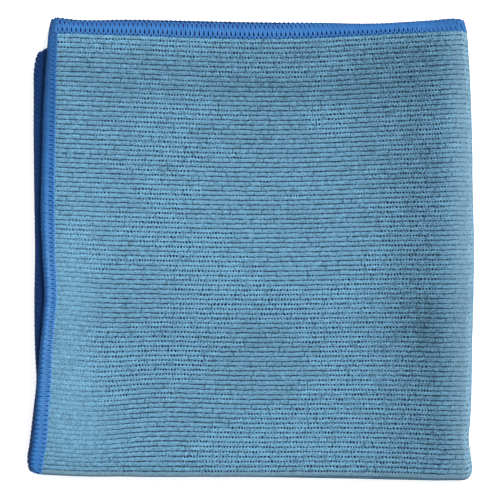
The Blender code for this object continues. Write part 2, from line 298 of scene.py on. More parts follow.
# Where the grooves are thin and faint
FAINT_PATCHES = table(
    BELLS,
    (-62, 76, 45, 24, 0.2),
    (-76, 2, 22, 28, 0.2),
    (-84, -42, 10, 30, 0.8),
    (-78, -84, 16, 14, 0.7),
    (103, 0, 8, 120, 1.1),
)

# Painted light and shade on the top layer: patches painted lighter or darker in place of the shading of its
# slopes
PAINTED_SHADING_PATCHES = table(
    BELLS,
    (-84, -50, 14, 48, 0.05),
    (-87, -14, 9, 22, 0.04),
    (74, 20, 12, 90, -0.28),
    (79, -45, 12, 45, -0.12),
    (95.5, 62, 6, 45, 0.24),
    (94.5, -42, 6, 45, 0.12),
    (-10, 64, 65, 18, -0.09),
    (25, -41, 75, 16, -0.13),
    (30, 92, 75, 14, -0.22),
    (60, 60, 30, 30, -0.08),
    (55, -84, 26, 14, -0.12),
    (0, -94, 110, 9, -0.10),
)

# Painted sheen: the knit is painted pale and greyish by the left hem and on the rounds beside the two folds,
# over runs in X, across the sheet, and from the upper pair of layers to the lower one
PAINTED_SHEEN_PATCHES = table(
    BELLS,
    (-84, -50, 14, 48, 0.1),
)
SHEEN_RUN_X = (86.0, 98.0)
SHEEN_RUN_ACROSS = (204.6, 205.4)
SHEEN_RUN_DOWN = (0.9, 0.6)

# Painted shade along the folds: runs of the two turns' angles over which the knit is painted darker towards
# the outermost line of the fold, and how dark the second fold's painted line is beside the first one's
FIRST_FOLD_SHADE_RUN = (0.45, 0.95)
SECOND_FOLD_SHADE_RUN = (0.7, 1.2)
SECOND_FOLD_SHADE_SHARE = 0.4

# Overlock: stitch length, and the way of its threads over the hem. A place across the hem is counted in
# mm from the outermost line of the edge, positive over the face side and negative over the reverse.
STITCH_LENGTH = 2.12
STEPS_PER_STITCH = 18
THREAD_SIDES = 6
LIP_RADIUS = 1.50
THREAD_CENTRE_HEIGHT = 0.74
THREAD_INSET = 0.20
LIP_ARC = 1.65
COVER_TO = 6.85
UNDER_FROM = -6.45
NEEDLE_AT = 7.05

# A strand at these places across the hem: its width as a share of the thread's, where its loops lie closed
# and where they are open, and half its height. It merges with its neighbours in the middle of the hem.
STRAND_PLACES = (1.1, 1.9, 2.6, 3.3, 4.2, 4.9, 5.9, 6.4)
CLOSED_WIDTHS = (1.60, 1.80, 1.80, 1.70, 1.50, 1.15, 0.95, 1.10)
OPEN_WIDTHS = (0.76, 0.74, 0.78, 1.50, 1.22, 0.74, 0.74, 0.80)
STRAND_HALF_HEIGHTS = (0.20, 0.15, 0.13, 0.11, 0.13, 0.20, 0.25, 0.22)
CLOSED_FLATNESS = 0.75

# The cover thread's tones, painted light and shade over the hem's roll, at these places across a hem
TONE_PLACES = (0.6, 1.3, 2.2, 2.6, 3.4, 4.0)
TONE_COLUMNS = ("edge", "outer", "outer", "crest", "crest", "inner")

# A hem by its run from its start: how far the cover thread's loops spread, its tones, the tones of the under
# thread and of the needle thread, how open the loops lie on its outer and its inner half, and the place
# across the hem where the cover thread and the under thread turn by the edge. The tones are painted light
# and shade: under 1 painted shade, over 1 a painted highlight.
HEM_COLUMNS = "run spread edge outer crest inner under needle outer_open inner_open turn"
LEFT_HEM = table(
    HEM_COLUMNS,
    (0, 0.16, 0.4, 0.42, 0.52, 0.65, 1, 0.7, 0, 0.3, -1.8),
    (32, 0.2, 0.42, 0.45, 0.62, 0.78, 1, 0.95, 0, 0.8, -1.8),
    (70, 0.2, 0.6, 0.62, 1.1, 0.98, 1, 1.4, 0, 0.75, -1.8),
    (111, 0.2, 0.7, 0.66, 1.55, 1.15, 1, 1.5, 0.1, 0.65, -1.8),
    (152, 0.15, 0.5, 0.62, 1.35, 1.2, 1, 1.5, 0, 0.55, -1.8),
    (184, 0.06, 0.12, 0.5, 1.18, 1.18, 0.55, 1.4, 0, 0.4, -1.8),
    (205, 0.08, 0.12, 0.46, 1.05, 1.05, 0.5, 1.15, 0, 0.3, -1.8),
    (300, 0.08, 0.12, 0.46, 1.05, 1.05, 0.44, 1, 0, 0.25, -1.8),
    (340, 0.08, 0.15, 0.46, 1.05, 1.05, 0.66, 1, 0, 0.25, -1.8),
    (366, 0.08, 0.16, 0.46, 1.05, 1.05, 0.74, 1, 0, 0.25, -1.8),
    (395, 0.08, 0.12, 0.46, 1.05, 1.05, 0.52, 1, 0, 0.25, -1.8),
)
BACK_HEM = table(
    HEM_COLUMNS,
    (0, 0.215, 0.6, 1.08, 0.98, 1.12, 1.1, 0.8, 1, 1, 1.3),
    (110, 0.215, 0.6, 1, 0.98, 1.1, 1.1, 0.8, 1, 1, 1.3),
    (140, 0.215, 0.42, 0.82, 0.94, 1.02, 0.9, 0.8, 0.3, 1.15, 0.2),
    (170, 0.215, 0.42, 0.8, 0.94, 1, 0.9, 0.8, 0.2, 1.15, -0.4),
    (179, 0.14, 0.42, 0.8, 0.94, 1, 0.9, 0.8, 0.2, 0.3, -0.6),
    (184, 0.04, 0.36, 0.66, 0.8, 0.84, 0.9, 0.8, 0, 0, -0.9),
)
PLAIN_HEM = table(
    HEM_COLUMNS,
    (0, 0.14, 1, 1, 1, 1, 1, 0.8, 0.2, 0.2, 1.2),
)

# How the threads of a hem lie: how far the under thread's loops spread, how far the hem's outer part lies
# lower than its crest, its rows, and half the needle thread's width and the depth of its dips
HemLook = namedtuple("HemLook", "under_spread dip rows needle_half_width needle_dip")
LEFT_LOOK = HemLook(0.12, 0.20, LEFT_HEM, 0.40, 0.06)
BACK_LOOK = HemLook(-0.10, 0.05, BACK_HEM, 0.26, 0.32)
PLAIN_LOOK = HemLook(0.14, 0.05, PLAIN_HEM, 0.26, 0.32)
CORNER_CLEARANCE = 5.2


def smooth_curve(at, knots, values):
    """Cubic curve through the knots whose slope at each knot is that of its two neighbours."""
    at = np.clip(at, knots[0], knots[-1])
    slopes = np.gradient(values, knots)
    i = np.clip(np.searchsorted(knots, at, side="right") - 1, 0, len(knots) - 2)
    gap = knots[i + 1] - knots[i]
    t = (at - knots[i]) / gap
    rise = values[i + 1] - values[i]
    start = slopes[i] * gap
    end = slopes[i + 1] * gap
    return values[i] + t * start + t**2 * (3 * rise - 2 * start - end) + t**3 * (start + end - 2 * rise)


def side_curves(rows, at):
    """All the sides that a table has, in the order of its columns, at the given places along them."""
    return [smooth_curve(at, rows[0], values) for values in rows[1:]]


def smooth_step(value, start, end):
    """0 before start and 1 after end, with a soft run between them; start may lie past end."""
    t = np.clip((value - start) / (end - start), 0.0, 1.0)
    return t * t * (3 - 2 * t)


def blend(first, second, share):
    """The first value at a share of 0, the second at 1, and straight between them."""
    return first + (second - first) * share


def soft_sum(bells, x, y):
    """Sum of the table's bells at the points (x, y)."""
    total = np.zeros_like(x)
    for bell_x, bell_y, width_x, width_y, size in zip(*bells):
        total += size * np.exp(-0.5 * (((x - bell_x) / width_x) ** 2 + ((y - bell_y) / width_y) ** 2))
    return total


def soft_noise(x, y, patch, seed):
    """Smooth seeded noise from -1 to 1: random values on a square lattice, blended between its points."""
    lattice = np.random.default_rng(seed).uniform(-1.0, 1.0, (LATTICE, LATTICE))
    column, row = np.floor(x / patch).astype(int), np.floor(y / patch).astype(int)
    across = smooth_step(x / patch - column, 0.0, 1.0)
    up = smooth_step(y / patch - row, 0.0, 1.0)
    columns = (column % LATTICE, (column + 1) % LATTICE)
    near, far = (
        blend(*(lattice[line % LATTICE, place] for place in columns), across) for line in (row, row + 1))
    return blend(near, far, up)


class FoldPlace:
    """Where a point of the flat sheet lies in the fold: its layer, and its way from hem to fold."""

    def __init__(self, along, across):
        upper = along < FOLD_CENTRE_ALONG
        outer = across < FOLD_CENTRE_ACROSS
        from_side = np.where(upper, along, SHEET_ALONG_RIBS - along)
        from_end = np.where(outer, across, SHEET_ACROSS_RIBS - across)
        self.from_side, self.from_end = from_side, from_end
        self.from_cut_edge = np.minimum(from_side, from_end)
        self.second_angle = np.interp(along, SECOND_TURN, (0.0, pi))
        self.first_angle = np.interp(across, FIRST_TURN, (0.0, pi))
        self.lower = (1 - np.cos(self.second_angle)) / 2
        self.inner = (1 - np.cos(self.first_angle)) / 2
        # In layer spacings, 1.5 for the outer pair of layers and 0.5 for the inner one
        self.turn_radius = 1 + 0.5 * np.cos(self.first_angle)
        self.level = MIDDLE_LEVEL + self.turn_radius * np.cos(self.second_angle)
        half_length = np.where(outer, FIRST_TURN[0], SHEET_ACROSS_RIBS - FIRST_TURN[1])
        self.hem_share_x = np.minimum(from_side / HEM_INNER, 1.0)
        self.hem_share_y = np.minimum(from_end / HEM_INNER, 1.0)
        self.body_share_x = np.interp(from_side, (HEM_INNER, SECOND_TURN[0]), (0.0, 1.0))
        self.body_share_y = np.clip((from_end - HEM_INNER) / (half_length - HEM_INNER), 0.0, 1.0)

    def of_layers(self, top, strip, second, bottom):
        """Blend of the values of the four layers, from the top one down."""
        return blend(blend(top, bottom, self.lower), blend(strip, second, self.lower), self.inner)


def place_along(place, y):
    """X: from the left edge over the hem to the second fold, and round it."""
    top, top_inner, strip, bottom = side_curves(LEFT_SIDE, y)
    (right,) = side_curves(RIGHT_SIDE, y)
    second = blend(strip, bottom, SECOND_EDGE_SHARE)
    edge = place.of_layers(top, strip, second, bottom)
    hem_inner = place.of_layers(top_inner, strip + HEM_INNER, second + HEM_INNER, bottom + HEM_INNER)
    on_hem = blend(edge, hem_inner, place.hem_share_x)
    on_body = blend(hem_inner, right - SECOND_FOLD_REACH, place.body_share_x)
    round_turn = SIDE_PITCH * place.turn_radius * np.sin(place.second_angle)
    return np.where(place.hem_share_x < 1, on_hem, on_body) + round_turn


def place_across(place, x):
    """Y: from the back edge over the hem to the first fold, and round it."""
    top, top_inner, inner, bottom = side_curves(BACK_SIDE, x)
    upper_fold, lower_fold = side_curves(FRONT_SIDE, x)
    second = inner - INNER_EDGES_STEP
    edge = place.of_layers(top, inner, second, bottom)
    hem_inner = place.of_layers(top_inner, inner - HEM_INNER, second - HEM_INNER, bottom - HEM_INNER)
    fold = blend(upper_fold, lower_fold, place.lower) + FIRST_FOLD_REACH
    on_hem = blend(edge, hem_inner, place.hem_share_y)
    on_body = blend(hem_inner, fold, place.body_share_y)
    return np.where(place.hem_share_y < 1, on_hem, on_body) - SIDE_PITCH / 2 * np.sin(place.first_angle)


def corner_cut(place):
    """How far the sheet's corners are drawn in along each side: most at the corner itself."""
    from_corner_x = np.minimum(place.from_side / CORNER_REACH, 1.0)
    from_corner_y = np.minimum(place.from_end / CORNER_REACH, 1.0)
    return CORNER_CUT * CORNER_REACH * ((1 - from_corner_x) * (1 - from_corner_y)) ** 2


def layer_pitch(x, y):
    """Spacing of the layers: wider over the hems and at the folds, less where the inner layers end."""
    sides = ((x, LEFT_HEMS_RUN), (y, BACK_HEMS_RUN), (y, FIRST_FOLD_RUN), (x, SECOND_FOLD_RUN))
    middle = np.prod([1 - smooth_step(place, *run) for place, run in sides], axis=0)
    return blend(blend(SIDE_PITCH, LAYER_PITCH, middle), DROOPED_PITCH, smooth_step(y, *DROOP_RUN))


def place_up(place, x, y):
    """Z: the bottom layer lies flat on the surface, and the others follow at the local spacing."""
    on_surface = np.interp(
        place.from_cut_edge, (HEM_WIDTH, HEM_INNER), (HEM_THICKNESS / 2, KNIT_THICKNESS / 2))
    over_hems = np.maximum(smooth_step(x, *LEFT_HEMS_RUN), smooth_step(y, *BACK_HEMS_RUN))
    under_stack = blend(KNIT_THICKNESS, HEM_THICKNESS, over_hems) / 2
    base = blend(on_surface, under_stack, np.clip(place.level, 0.0, 1.0))
    rise = place.level / TOP_LEVEL
    swell = rise**2 * soft_sum(SWELLS, x, y)
    corner = rise * CORNER_DROP * smooth_step(x, *CORNER_RUN_X) * smooth_step(y, *CORNER_RUN_Y)
    return base + place.level * layer_pitch(x, y) + swell - corner


def middle_surface(along, across):
    """Middle of the folded sheet over the flat sheet's two parameters, as points in mm."""
    place = FoldPlace(along, across)
    x = blend(LEFT_SIDE.top_edge[0], RIGHT_SIDE.edge[0], place.body_share_x)
    y = blend(BACK_SIDE.top_edge[0], FRONT_SIDE.upper_pair[0], place.body_share_y)
    for _ in range(OUTLINE_PASSES):
        x = place_along(place, y)
        y = place_across(place, x)
    cut = corner_cut(place)
    x, y = x + cut, y - cut
    on_top = place.level > TOP_LEVEL - TOUCH
    off_folds = smooth_step(place.body_share_x, *PULL_FADE_X) * smooth_step(place.body_share_y, *PULL_FADE_Y)
    y = y + on_top * off_folds * soft_sum(RIB_PULLS, x, y)
    z = place_up(place, x, y)
    return np.stack((x - OUTLINE_MIDDLE_X, y - OUTLINE_MIDDLE_Y, z), axis=-1)


def unit(vectors):
    """The vectors, each drawn out to a length of 1."""
    return vectors / np.linalg.norm(vectors, axis=-1, keepdims=True)


def surface_frame(along, across, step=0.04):
    """Points of the middle surface, their unit normals towards the face side, and its two tangents."""
    points = middle_surface(along, across)
    run_along = middle_surface(along + step, across) - middle_surface(along - step, across)
    run_across = middle_surface(along, across + step) - middle_surface(along, across - step)
    return points, unit(np.cross(run_across, run_along)), unit(run_along), unit(run_across)


# ---------------------------------------------------------------- meshes

# Place of the hem's base among the sheet's materials, after those of its face and its reverse
HEM_BASE_INDEX = 2


def link_piece(name, points, faces, materials, indices, uv, attributes=None):
    """A new smooth mesh object at the origin from arrays: points in mm, quads, and one UV per corner."""
    mesh = bpy.data.meshes.new(name)
    mesh.from_pydata((points * MM).tolist(), [], faces.tolist())
    for material in materials:
        mesh.materials.append(material)
    mesh.polygons.foreach_set("material_index", indices.astype(np.int32))
    mesh.polygons.foreach_set("use_smooth", np.ones(len(faces), dtype=bool))
    layer = mesh.uv_layers.new(name="flat_place")
    layer.uv.foreach_set("vector", uv.astype(np.float32).ravel())
    for key, values in (attributes or {}).items():
        mesh.attributes.new(key, "FLOAT", "POINT").data.foreach_set("value", values.astype(np.float32))
    mesh.update()
    piece = bpy.data.objects.new(name, mesh)
    bpy.context.scene.collection.objects.link(piece)
    return piece


def grid_quads(index):
    """Quads of a grid of vertex numbers: from each corner down a row, along a column, and back up."""
    return np.stack((index[:-1, :-1], index[1:, :-1], index[1:, 1:], index[:-1, 1:]), axis=-1).reshape(-1, 4)


def sheet_columns():
    """Columns of the flat grid, along the ribs: hem, body, turn, body and hem."""
    hem = np.array(HEM_LINES)
    upper = np.linspace(HEM_INNER, SECOND_TURN[0], TOP_LAYER_COLUMNS + 1)[1:-1]
    turn = np.linspace(*SECOND_TURN, SECOND_TURN_STEPS + 1)
    lower = np.linspace(SECOND_TURN[1], SHEET_ALONG_RIBS - HEM_INNER, BOTTOM_LAYER_COLUMNS + 1)[1:-1]
    return np.concatenate((hem, upper, turn, lower, SHEET_ALONG_RIBS - hem[::-1]))


def sheet_rows():
    """Rows of the flat grid, across the ribs: hem, four to each rib, turn, plain inner half and hem."""
    hem = np.array(HEM_LINES)
    ribs = HEM_INNER + RIB_HEIGHT * np.add.outer(np.arange(RIB_COUNT + 1), np.array(RIB_PHASES)).ravel()[1:-2]
    turn = np.linspace(*FIRST_TURN, FIRST_TURN_STEPS + 1)
    inner = np.linspace(FIRST_TURN[1], SHEET_ACROSS_RIBS - HEM_INNER, INNER_HALF_ROWS + 1)[1:-1]
    return np.concatenate((hem, ribs, turn, inner, SHEET_ACROSS_RIBS - hem[::-1]))


def half_thickness(place):
    """Half the knit's thickness: a quarter circle over the lip, the hem's base, and up to the body."""
    from_lip = np.clip((place.from_cut_edge - EDGE_RECESS) / KNIT_LIP, 0.0, 1.0)
    lip = np.sqrt(1 - (1 - from_lip) ** 2)
    body = np.interp(
        place.from_cut_edge, (HEM_BASE_INNER, HEM_INNER), (HEM_BASE_THICKNESS, KNIT_THICKNESS))
    return lip * body / 2


def groove_share(place, x, across):
    """Share of the groove's depth on the face side: 1 in a groove and 0 at a crest, less at the fold."""
    phase = (across - HEM_INNER) / RIB_HEIGHT
    from_groove = np.abs(phase - np.round(phase)) / RIB_PHASES[1]
    wedge = np.clip(1 - from_groove / GROOVE_REACH, 0.0, 1.0)
    ribbed = (place.from_cut_edge > HEM_INNER - TOUCH) & (across < FIRST_TURN[0] - TOUCH)
    return wedge * ribbed * blend(1.0, GROOVE_LEFT_AT_FOLD, smooth_step(x, *GROOVE_RUN_X))


def line_of_turn(angle, run):
    """1 along the outermost line of a turn and 0 beside it, softly from the run of angles."""
    return smooth_step(angle, *run) * smooth_step(angle, pi, pi / 2)


def sheet_marks(place, x, y, across):
    """The shares over the sheet that its grooves and its material follow, by name."""
    on_top = place.level > TOP_LEVEL - TOUCH
    # Painted sheen by the two folds and in the top layer's patches
    pale = smooth_step(x, *SHEEN_RUN_X) * smooth_step(place.lower, *SHEEN_RUN_DOWN)
    pale = pale + on_top * soft_sum(PAINTED_SHEEN_PATCHES, x, y)
    return {
        "dotted": np.where(on_top, soft_sum(DOTTED_PATCHES, x, y), DOTTED_BELOW),
        "faint": np.clip(soft_sum(FAINT_PATCHES, x, y), 0.0, 1.0),
        "painted_shading": on_top * soft_sum(PAINTED_SHADING_PATCHES, x, y),
        "pale": np.maximum(pale, smooth_step(across, *SHEEN_RUN_ACROSS) * (1 - place.inner)),
        # Painted shade along the outermost lines of the two folds
        "dark": np.maximum(
            line_of_turn(place.first_angle, FIRST_FOLD_SHADE_RUN),
            SECOND_FOLD_SHADE_SHARE * line_of_turn(place.second_angle, SECOND_FOLD_SHADE_RUN)),
    }


def knit_sheet(settings, materials):
    """The whole panel as one closed surface: its face and its reverse are the middle surface moved along
    its normal by half the local thickness, and they share their points along the cut edge."""
    along, across = np.meshgrid(sheet_columns(), sheet_rows())
    place = FoldPlace(along, across)
    middle, normal, _, _ = surface_frame(along, across)
    x, y = middle[..., 0] + OUTLINE_MIDDLE_X, middle[..., 1] + OUTLINE_MIDDLE_Y
    marks = sheet_marks(place, x, y, across)
    left = (1 - FAINT_LOSS * marks["faint"]) * (1 - DOTTED_LOSS * np.clip(marks["dotted"], 0.0, 1.0))
    depth = settings.groove_depth / MM * groove_share(place, x, across) * left
    on_outer_body = (place.from_cut_edge > HEM_INNER + TOUCH) & (place.inner < 0.5)
    uneven = UNEVEN_HEIGHT * on_outer_body * soft_noise(along, across, UNEVEN_PATCH, UNEVEN_SEED)
    half = half_thickness(place)
    face = middle + normal * (half - depth + uneven)[..., None]
    reverse = middle - normal * half[..., None]

    inside = (slice(1, -1), slice(1, -1))
    face_index = np.arange(along.size).reshape(along.shape)
    reverse_index = face_index.copy()
    reverse_index[inside] = along.size + np.arange(along[inside].size).reshape(along[inside].shape)
    faces = np.concatenate((grid_quads(face_index), grid_quads(reverse_index)[:, ::-1]))

    def of_points(face_values, reverse_values):
        """Values of all points: of the face side, and then of the reverse inside the edge."""
        size = face_values.shape[2:]
        return np.concatenate((face_values.reshape(-1, *size), reverse_values[inside].reshape(-1, *size)))

    flat = np.stack((along, across), axis=-1) * MM
    flat = of_points(flat, flat)
    from_edge = of_points(place.from_cut_edge, place.from_cut_edge)
    on_hem = from_edge[faces].max(axis=1) < HEM_INNER + TOUCH
    is_reverse = np.arange(len(faces)) >= len(faces) // 2
    indices = np.where(on_hem, HEM_BASE_INDEX, is_reverse)
    attributes = {name: of_points(values, values) for name, values in marks.items()}
    return link_piece(
        "knit_sheet", of_points(face, reverse), faces, materials, indices, flat[faces.ravel()], attributes)


# ---------------------------------------------------------------- overlock threads

# A hem: the corner of the flat sheet that it starts from, its direction, the way inwards from its edge, its
# first and its last stitch, and its look
Hem = namedtuple(
    "Hem", "name corner_along corner_across run_along run_across inward_along inward_across start end look")
HEMS = (
    Hem("hem_thread_left", 0.0, 0.0, 0, 1, 1, 0,
        0.8, SHEET_ACROSS_RIBS - 1.4, LEFT_LOOK),
    Hem("hem_thread_lower_left", SHEET_ALONG_RIBS, 0.0, 0, 1, -1, 0,
        0.6, SHEET_ACROSS_RIBS - 0.6, PLAIN_LOOK),
    Hem("hem_thread_back", 0.0, 0.0, 1, 0, 0, 1,
        CORNER_CLEARANCE, SHEET_ALONG_RIBS - CORNER_CLEARANCE, BACK_LOOK),
    Hem("hem_thread_inner_back", 0.0, SHEET_ACROSS_RIBS, 1, 0, 0, -1,
        CORNER_CLEARANCE, SHEET_ALONG_RIBS - CORNER_CLEARANCE, PLAIN_LOOK),
)


def hem_points(hem, run, across_hem, lift):
    """Points of a thread on a hem and their outward directions, from its run along the hem, its place
    across the hem counted from the edge, and its lift off the thread's usual height. Over the lip the
    place is an arc of an ellipse round the edge; past it, it lies flat on the face or the reverse."""
    turn = np.clip(across_hem / LIP_ARC, -1.0, 1.0) * pi / 2
    past_lip = np.maximum(np.abs(across_hem) - LIP_ARC, 0.0)
    inward = LIP_RADIUS - (LIP_RADIUS - THREAD_INSET) * np.cos(turn) + past_lip
    height = THREAD_CENTRE_HEIGHT * np.sin(turn)
    along = hem.corner_along + run * hem.run_along + inward * hem.inward_along
    across = hem.corner_across + run * hem.run_across + inward * hem.inward_across
    points, normal, run_along, run_across = surface_frame(along, across)
    inwards = run_along * hem.inward_along + run_across * hem.inward_across
    outward = normal * np.sin(turn)[:, None] - inwards * np.cos(turn)[:, None]
    outward = unit(np.where((past_lip > 0)[:, None], normal * np.sign(across_hem)[:, None], outward))
    return points + normal * height[:, None] + outward * lift[:, None], outward


def tube(path, outward, half_width, half_height):
    """A closed tube: a six-sided ellipse carried along the path, wide along the hem and low off it, with
    two quads over each end. Returns points, quads, and a UV (along, share round) for each quad's corner."""
    forward = unit(np.gradient(path, axis=0))
    sideways = unit(np.cross(outward, forward))
    up = np.cross(forward, sideways)
    angle = 2 * pi * np.arange(THREAD_SIDES) / THREAD_SIDES
    ring = np.zeros((len(path), THREAD_SIDES, 3))
    for direction, size, wave in ((sideways, half_width, np.cos(angle)), (up, half_height, np.sin(angle))):
        size = np.broadcast_to(size, len(path))[:, None]
        ring += wave[None, :, None] * (direction * size)[:, None, :]
    points = (path[:, None, :] + ring).reshape(-1, 3)
    index = np.arange(len(points)).reshape(len(path), THREAD_SIDES)
    walls = grid_quads(np.concatenate((index, index[:, :1]), axis=1))[:, ::-1]
    end = np.array(((0, 1, 2, 3), (0, 3, 4, 5)))
    faces = np.concatenate((walls, end[:, ::-1], len(points) - THREAD_SIDES + end))

    length = np.append(0.0, np.cumsum(np.linalg.norm(np.diff(path, axis=0), axis=1)))
    share = np.linspace(0.0, 1.0, THREAD_SIDES + 1)
    flat = np.stack(np.meshgrid(length, share, indexing="ij"), axis=-1) * MM
    corners = grid_quads(np.arange(len(path) * len(share)).reshape(len(path), len(share)))[:, ::-1]
    uv = np.concatenate((flat.reshape(-1, 2)[corners.ravel()], np.zeros((2 * end.size, 2))))
    return points, faces, uv


# How uneven a thread's stitches are: its turns by the needle line and by the edge, its lean along the hem in
# stitches, its lift, and its tone as a share. The needle thread only strays across the hem.
Wobble = namedtuple("Wobble", "needle edge lean lift tone")
COVER_WOBBLE = Wobble(0.2, 0.1, 0.05, 0.03, 0.04)
UNDER_WOBBLE = Wobble(0.2, 0.2, 0.0, 0.0, 0.08)
NEEDLE_WOBBLE = (0.08,)
WOBBLE_VALUES = 256

# Slow lean of the cover thread's loops: its size in stitches, and its rate
LEAN_SIZE = 0.10
LEAN_RATE = 0.11

# Soft start and end across the hem of its outer part, where the cover thread lies lower, and the soft run
# over which the outer half of a hem goes over into the inner half
OUTER_PART_START = (0.6, 1.4)
OUTER_PART_END = (2.9, 2.1)
HALVES_MEET = (2.8, 3.8)

# The needle thread: its depth, its half height, and how sharply it dips
NEEDLE_DEPTH = 0.10
NEEDLE_HALF_HEIGHT = 0.18
NEEDLE_DIP_POWER = 3


def stitch_wobbles(stitch, seed, sizes):
    """Seeded unevenness from stitch to stitch, blended between the whole stitches, one for each size."""
    below = np.floor(stitch).astype(int)
    share = smooth_step(stitch - below, 0.0, 1.0)
    for number, size in enumerate(sizes):
        values = np.random.default_rng(seed + number).uniform(-size, size, WOBBLE_VALUES)
        yield blend(values[below % WOBBLE_VALUES], values[(below + 1) % WOBBLE_VALUES], share)


def hem_value(hem, name, run):
    """A named column of the hem's rows at the given runs: straight from row to row."""
    return np.interp(run, hem.look.rows.run, getattr(hem.look.rows, name))


def strand(hem, path, outward, run, across_hem, settings):
    """The tube of a strand, whose section follows its place on the hem."""
    place = np.abs(across_hem)
    outer_open, inner_open = (hem_value(hem, name, run) for name in ("outer_open", "inner_open"))
    open_share = blend(outer_open, inner_open, smooth_step(place, *HALVES_MEET))
    closed_width, open_width, half_height = (
        np.interp(place, STRAND_PLACES, row) for row in (CLOSED_WIDTHS, OPEN_WIDTHS, STRAND_HALF_HEIGHTS))
    width = blend(closed_width, open_width, open_share) * settings.thread_width / MM
    return tube(path, outward, width / 2, half_height * blend(CLOSED_FLATNESS, 1.0, open_share))


def cover_tone(hem, run, across_hem):
    """Painted light and shade of the cover thread from the hem's rows, straight from place to place across
    it.
    """
    values = np.stack([hem_value(hem, name, run) for name in TONE_COLUMNS])
    place = np.interp(across_hem, TONE_PLACES, np.arange(len(TONE_PLACES)))
    before = np.minimum(place.astype(int), len(TONE_PLACES) - 2)
    item = np.arange(len(run))
    return blend(values[before, item], values[before + 1, item], place - before)


def hem_wave(hem, stitch):
    """What both looping threads follow: their even run along the hem, the place of their turns by the edge,
    and a cosine wave with one period to a stitch, 1 on each whole stitch and 0 half a stitch on."""
    run = hem.start + STITCH_LENGTH * stitch
    return run, hem_value(hem, "turn", run), (1 + np.cos(2 * pi * stitch)) / 2


def cover_thread(hem, stitch, settings, seed):
    """The bright thread over the face side: it turns at the needle line on each whole stitch and by the edge
    half a stitch on. A second wave of twice the rate along the hem spreads the strands, so that they touch
    in the middle and open into a loop at each end."""
    needle, edge, lean, lift, tone = stitch_wobbles(stitch, seed, COVER_WOBBLE)
    even_run, turn, share = hem_wave(hem, stitch)
    across_hem = blend(turn + edge, COVER_TO + needle, share)
    lean = lean + LEAN_SIZE * np.sin(stitch * LEAN_RATE + seed)
    spread = hem_value(hem, "spread", even_run) * np.sin(4 * pi * stitch)
    run = even_run + STITCH_LENGTH * (spread + lean * (1 - share))
    on_outer_part = smooth_step(across_hem, *OUTER_PART_START) * smooth_step(across_hem, *OUTER_PART_END)
    path, outward = hem_points(hem, run, across_hem, lift - hem.look.dip * on_outer_part)
    tone = cover_tone(hem, run, across_hem) * (1 + tone)
    return strand(hem, path, outward, run, across_hem, settings), tone


def under_thread(hem, stitch, settings, seed):
    """The dark thread under the reverse side: it wraps the edge on each whole stitch, between the turns of
    the cover thread, and shows there from above."""
    needle, edge, _, lift, tone = stitch_wobbles(stitch, seed, UNDER_WOBBLE)
    even_run, turn, share = hem_wave(hem, stitch)
    across_hem = blend(UNDER_FROM + needle, turn + edge, share)
    run = even_run + STITCH_LENGTH * hem.look.under_spread * np.sin(4 * pi * stitch)
    path, outward = hem_points(hem, run, across_hem, lift)
    # Painted light and shade of the under thread from the hem's rows, times its uneven tone
    tone = hem_value(hem, "under", run) * (1 + tone)
    return strand(hem, path, outward, run, across_hem, settings), tone


def needle_thread(hem, stitch, seed):
    """The needle thread along the inner side of the hem: it dips into the knit between two loops."""
    (wobble,) = stitch_wobbles(stitch, seed, NEEDLE_WOBBLE)
    run = hem.start + STITCH_LENGTH * stitch
    dip = hem.look.needle_dip * (0.5 - 0.5 * np.cos(2 * pi * stitch)) ** NEEDLE_DIP_POWER
    path, outward = hem_points(hem, run, NEEDLE_AT + wobble, -NEEDLE_DEPTH - dip)
    # The needle thread's tone is painted light and shade from the hem's rows
    return tube(path, outward, hem.look.needle_half_width, NEEDLE_HALF_HEIGHT), hem_value(hem, "needle", run)


# Material of the cover thread, the under thread and the needle thread, and the steps from seed to seed
THREAD_MATERIALS = (0, 1, 0)
THREAD_SEEDS = 10
HEM_SEEDS = 100


def hem_threads(settings, hem, seed, materials):
    """The three threads of one hem, joined into one piece with a bright and a dark material."""
    stitches = (hem.end - hem.start) / STITCH_LENGTH
    stitch = np.linspace(0.0, stitches, int(stitches * STEPS_PER_STITCH) + 1)
    tubes, tones = zip(
        cover_thread(hem, stitch, settings, seed),
        under_thread(hem, stitch, settings, seed + THREAD_SEEDS),
        needle_thread(hem, stitch, seed + 2 * THREAD_SEEDS))
    points, faces, uv = zip(*tubes)
    faces = np.concatenate([quads + number * len(points[0]) for number, quads in enumerate(faces)])
    indices = np.repeat(THREAD_MATERIALS, len(faces) // len(tubes))
    tone = np.repeat(np.concatenate(tones), THREAD_SIDES)
    return link_piece(
        hem.name, np.concatenate(points), faces, materials, indices, np.concatenate(uv), {"tone": tone})


# ---------------------------------------------------------------- materials

BUMP_STRENGTH = 0.9
FIBRE_SPECULAR = 0.15
SHEEN_ROUGHNESS = 0.5

# Noise: its rates per mm along and across the ribs, or along and round a thread, the plane that it is cut
# from, its detail, and its size. Where it follows a groove's number, the second rate is for that.
Pattern = namedtuple("Pattern", "along across plane detail size")
SLOW_WAVER = Pattern(0.22, 0.4, 0, 1, 0.7)
FAST_WAVER = Pattern(0.9, 0.45, 3, 1, 0.25)
DOT_DRIFT = Pattern(0.12, 3.1, 0, 1, 2)
DOT_LEAN = Pattern(0.06, 0.09, 0, 1, 2.2)
DOT_SPREAD = Pattern(0.09, 0.16, 2, 1, 1.8)
LINE_BREAKS = Pattern(0.7, 7.3, 0, 2, 1)
SPECKLE = Pattern(2.9, 2.6, 0, 1, 1.5)
WALES = Pattern(2.2, 0.35, 5, 1, 0.45)
COURSES = Pattern(0.35, 2.6, 7, 1, 0.4)
CLOUDS = Pattern(0.035, 0.05, 8, 2, 0.16)
REVERSE_SPECKLE = Pattern(2.4, 1.6, 0, 3, 0.2)
BASE_SPECKLE = Pattern(1.5, 1.5, 0, 2, 1)
FILAMENTS = Pattern(1.5, 5, 0, 2, 1)
SLOW_SHADE = Pattern(0.05, 0, 3, 1, 0.25)

